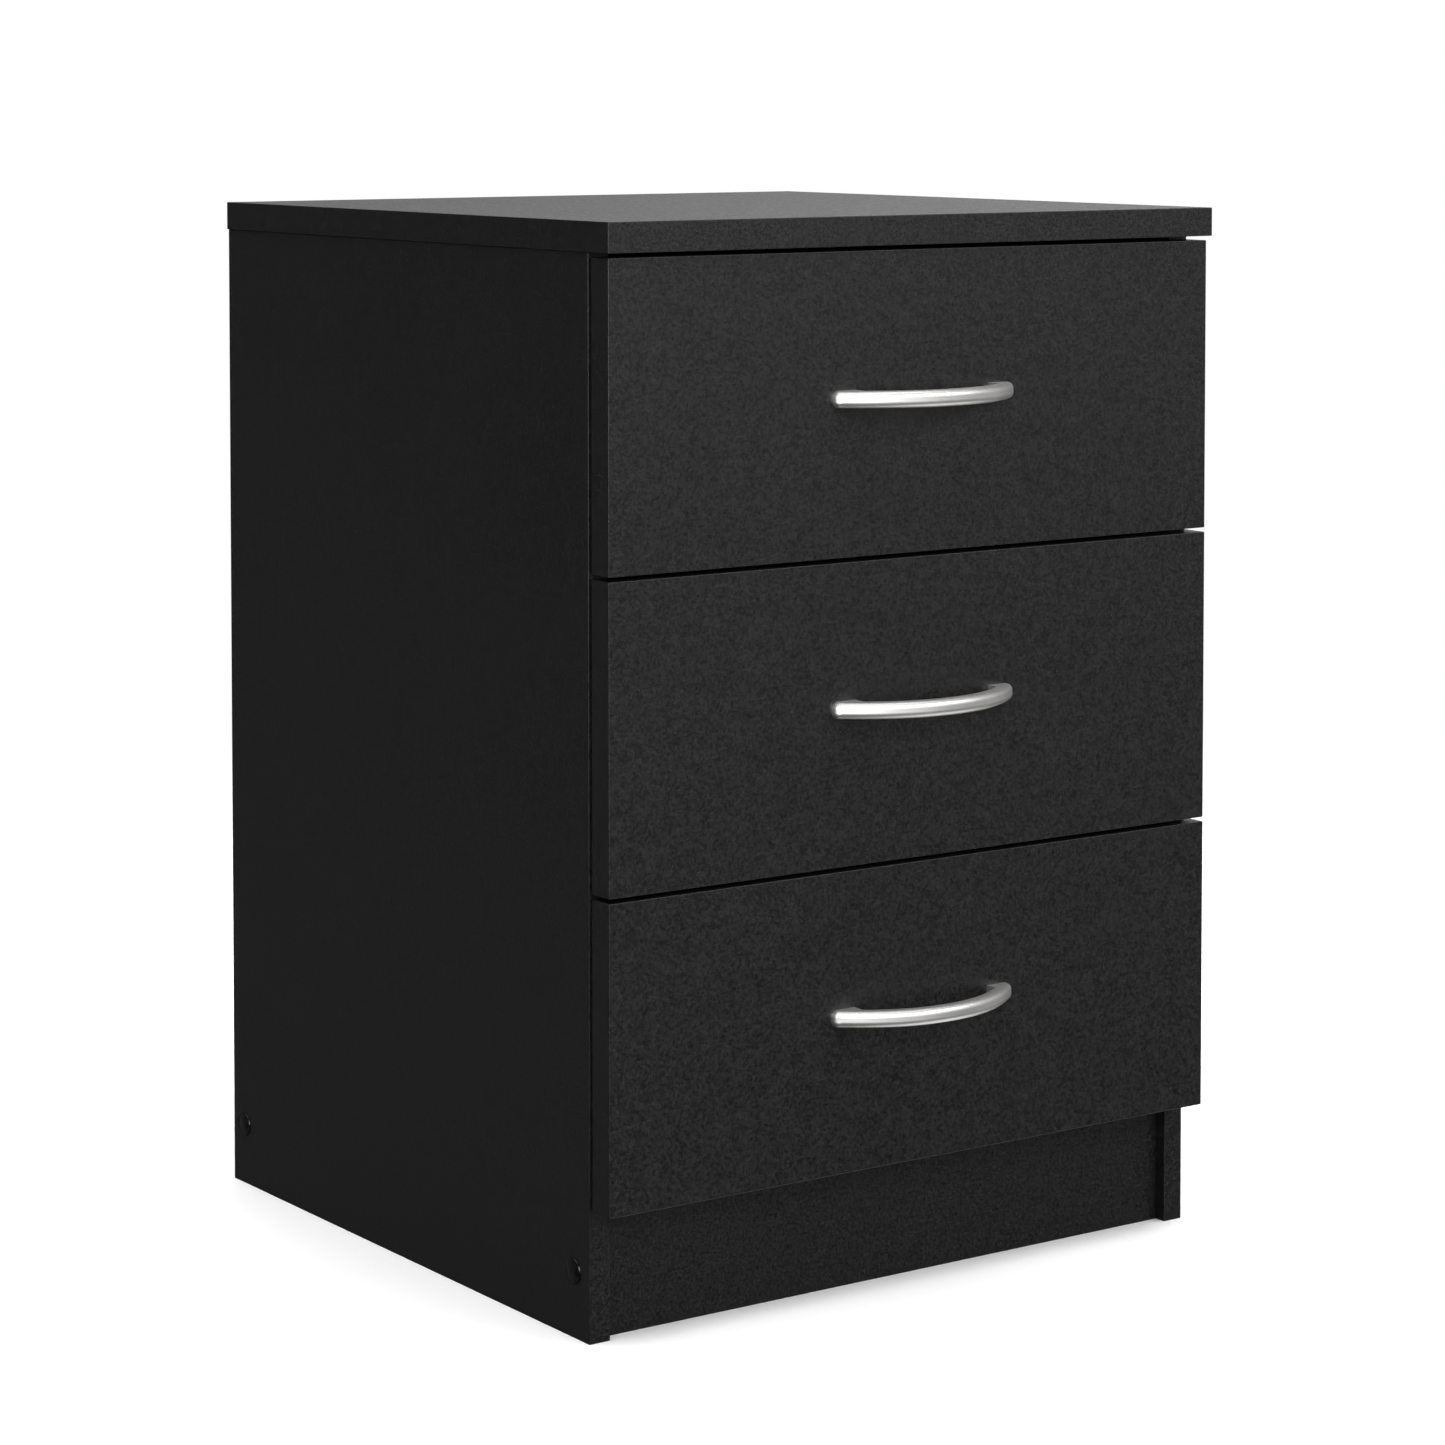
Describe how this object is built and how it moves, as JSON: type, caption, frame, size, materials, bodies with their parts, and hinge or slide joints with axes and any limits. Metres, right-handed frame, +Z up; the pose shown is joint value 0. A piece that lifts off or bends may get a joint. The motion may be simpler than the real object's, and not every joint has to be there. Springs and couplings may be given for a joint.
{
  "type": "nightstand",
  "caption": "Rectangular bedside cabinet with overlapping slab drawer fronts on roller runners, bow handles, an overhanging top and a recessed plinth.",
  "frame": {"origin": "on the floor, in the middle of the width, midway between the handles' outermost point and the back edge", "axes": "+X to the right, drawers face and open towards -Y, +Z up"},
  "size_m": [0.3844, 0.405, 0.545],
  "materials": {
    "black_board": "black foil-faced chipboard, fine satin grain, edges banded to match",
    "drawer_board": "pale grey foil-wrapped chipboard, matt",
    "drawer_base": "pale grey lacquered hardboard, satin",
    "hardboard": "dark-faced hardboard, matt",
    "dowel_beech": "turned beech, dry",
    "handle_metal": "satin nickel-plated zinc die casting",
    "zinc_steel": "bright zinc-plated steel",
    "runner_steel": "white powder-coated rolled steel",
    "cam_zinc": "raw zinc die casting, dull",
    "cap_plastic": "black moulded polyethylene, semi-gloss",
    "roller_nylon": "natural white nylon, satin"
  },
  "bodies": {
    "carcass": {"top_panel": "black_board", "left_side_panel": "black_board", "right_side_panel": "black_board", "plinth": "black_board", "rear_rail": "black_board", "back_panel": "hardboard", "back_panel_nails": "zinc_steel", "confirmat_screws": "zinc_steel", "screw_caps": "cap_plastic", "carcass_dowels": "dowel_beech", "top_cams": "cam_zinc", "top_cam_bolts": "zinc_steel", "left_cabinet_runners": "runner_steel", "right_cabinet_runners": "runner_steel", "cabinet_runner_screws": "zinc_steel"},
    "top_drawer": {"top_drawer_front": "black_board", "top_drawer_left_side": "drawer_board", "top_drawer_right_side": "drawer_board", "top_drawer_back": "drawer_board", "top_drawer_bottom": "drawer_base", "top_handle": "handle_metal", "top_handle_screws": "zinc_steel", "top_drawer_cam_fittings": "cam_zinc", "top_drawer_screws": "zinc_steel", "top_drawer_left_runner": "runner_steel", "top_drawer_right_runner": "runner_steel"},
    "middle_drawer": {"middle_drawer_front": "black_board", "middle_drawer_left_side": "drawer_board", "middle_drawer_right_side": "drawer_board", "middle_drawer_back": "drawer_board", "middle_drawer_bottom": "drawer_base", "middle_handle": "handle_metal", "middle_handle_screws": "zinc_steel", "middle_drawer_cam_fittings": "cam_zinc", "middle_drawer_screws": "zinc_steel", "middle_drawer_left_runner": "runner_steel", "middle_drawer_right_runner": "runner_steel"},
    "bottom_drawer": {"bottom_drawer_front": "black_board", "bottom_drawer_left_side": "drawer_board", "bottom_drawer_right_side": "drawer_board", "bottom_drawer_back": "drawer_board", "bottom_drawer_bottom": "drawer_base", "bottom_handle": "handle_metal", "bottom_handle_screws": "zinc_steel", "bottom_drawer_cam_fittings": "cam_zinc", "bottom_drawer_screws": "zinc_steel", "bottom_drawer_left_runner": "runner_steel", "bottom_drawer_right_runner": "runner_steel"},
    "top_cabinet_left_roller": {"top_cabinet_left_roller": "roller_nylon"},
    "top_drawer_left_roller": {"top_drawer_left_roller": "roller_nylon"},
    "top_cabinet_right_roller": {"top_cabinet_right_roller": "roller_nylon"},
    "top_drawer_right_roller": {"top_drawer_right_roller": "roller_nylon"},
    "middle_cabinet_left_roller": {"middle_cabinet_left_roller": "roller_nylon"},
    "middle_drawer_left_roller": {"middle_drawer_left_roller": "roller_nylon"},
    "middle_cabinet_right_roller": {"middle_cabinet_right_roller": "roller_nylon"},
    "middle_drawer_right_roller": {"middle_drawer_right_roller": "roller_nylon"},
    "bottom_cabinet_left_roller": {"bottom_cabinet_left_roller": "roller_nylon"},
    "bottom_drawer_left_roller": {"bottom_drawer_left_roller": "roller_nylon"},
    "bottom_cabinet_right_roller": {"bottom_cabinet_right_roller": "roller_nylon"},
    "bottom_drawer_right_roller": {"bottom_drawer_right_roller": "roller_nylon"}
  },
  "joints": [
    {"name": "top_drawer_slide", "type": "slide", "parent": "carcass", "child": "top_drawer", "axis": [0, -1, 0], "range_m": [0, 0.256]},
    {"name": "middle_drawer_slide", "type": "slide", "parent": "carcass", "child": "middle_drawer", "axis": [0, -1, 0], "range_m": [0, 0.256]},
    {"name": "bottom_drawer_slide", "type": "slide", "parent": "carcass", "child": "bottom_drawer", "axis": [0, -1, 0], "range_m": [0, 0.256]},
    {"name": "top_cabinet_left_roller_spin", "type": "hinge", "parent": "carcass", "child": "top_cabinet_left_roller", "pos_m": [-0.1719, -0.14635, 0.4014], "axis": [1, 0, 0], "continuous": true},
    {"name": "top_drawer_left_roller_spin", "type": "hinge", "parent": "top_drawer", "child": "top_drawer_left_roller", "pos_m": [-0.1711, 0.1711, 0.3987], "axis": [1, 0, 0], "continuous": true},
    {"name": "top_cabinet_right_roller_spin", "type": "hinge", "parent": "carcass", "child": "top_cabinet_right_roller", "pos_m": [0.1719, -0.14635, 0.4014], "axis": [1, 0, 0], "continuous": true},
    {"name": "top_drawer_right_roller_spin", "type": "hinge", "parent": "top_drawer", "child": "top_drawer_right_roller", "pos_m": [0.1711, 0.1711, 0.3987], "axis": [1, 0, 0], "continuous": true},
    {"name": "middle_cabinet_left_roller_spin", "type": "hinge", "parent": "carcass", "child": "middle_cabinet_left_roller", "pos_m": [-0.1719, -0.14635, 0.2466], "axis": [1, 0, 0], "continuous": true},
    {"name": "middle_drawer_left_roller_spin", "type": "hinge", "parent": "middle_drawer", "child": "middle_drawer_left_roller", "pos_m": [-0.1711, 0.1711, 0.2439], "axis": [1, 0, 0], "continuous": true},
    {"name": "middle_cabinet_right_roller_spin", "type": "hinge", "parent": "carcass", "child": "middle_cabinet_right_roller", "pos_m": [0.1719, -0.14635, 0.2466], "axis": [1, 0, 0], "continuous": true},
    {"name": "middle_drawer_right_roller_spin", "type": "hinge", "parent": "middle_drawer", "child": "middle_drawer_right_roller", "pos_m": [0.1711, 0.1711, 0.2439], "axis": [1, 0, 0], "continuous": true},
    {"name": "bottom_cabinet_left_roller_spin", "type": "hinge", "parent": "carcass", "child": "bottom_cabinet_left_roller", "pos_m": [-0.1719, -0.14635, 0.0918], "axis": [1, 0, 0], "continuous": true},
    {"name": "bottom_drawer_left_roller_spin", "type": "hinge", "parent": "bottom_drawer", "child": "bottom_drawer_left_roller", "pos_m": [-0.1711, 0.1711, 0.0891], "axis": [1, 0, 0], "continuous": true},
    {"name": "bottom_cabinet_right_roller_spin", "type": "hinge", "parent": "carcass", "child": "bottom_cabinet_right_roller", "pos_m": [0.1719, -0.14635, 0.0918], "axis": [1, 0, 0], "continuous": true},
    {"name": "bottom_drawer_right_roller_spin", "type": "hinge", "parent": "bottom_drawer", "child": "bottom_drawer_right_roller", "pos_m": [0.1711, 0.1711, 0.0891], "axis": [1, 0, 0], "continuous": true}
  ],
  "couplings": [
    {"joint": "top_cabinet_left_roller_spin", "follows": "top_drawer_slide", "rad_per_m": 125},
    {"joint": "top_drawer_left_roller_spin", "follows": "top_drawer_slide", "rad_per_m": 125},
    {"joint": "top_cabinet_right_roller_spin", "follows": "top_drawer_slide", "rad_per_m": 125},
    {"joint": "top_drawer_right_roller_spin", "follows": "top_drawer_slide", "rad_per_m": 125},
    {"joint": "middle_cabinet_left_roller_spin", "follows": "middle_drawer_slide", "rad_per_m": 125},
    {"joint": "middle_drawer_left_roller_spin", "follows": "middle_drawer_slide", "rad_per_m": 125},
    {"joint": "middle_cabinet_right_roller_spin", "follows": "middle_drawer_slide", "rad_per_m": 125},
    {"joint": "middle_drawer_right_roller_spin", "follows": "middle_drawer_slide", "rad_per_m": 125},
    {"joint": "bottom_cabinet_left_roller_spin", "follows": "bottom_drawer_slide", "rad_per_m": 125},
    {"joint": "bottom_drawer_left_roller_spin", "follows": "bottom_drawer_slide", "rad_per_m": 125},
    {"joint": "bottom_cabinet_right_roller_spin", "follows": "bottom_drawer_slide", "rad_per_m": 125},
    {"joint": "bottom_drawer_right_roller_spin", "follows": "bottom_drawer_slide", "rad_per_m": 125}
  ]
}
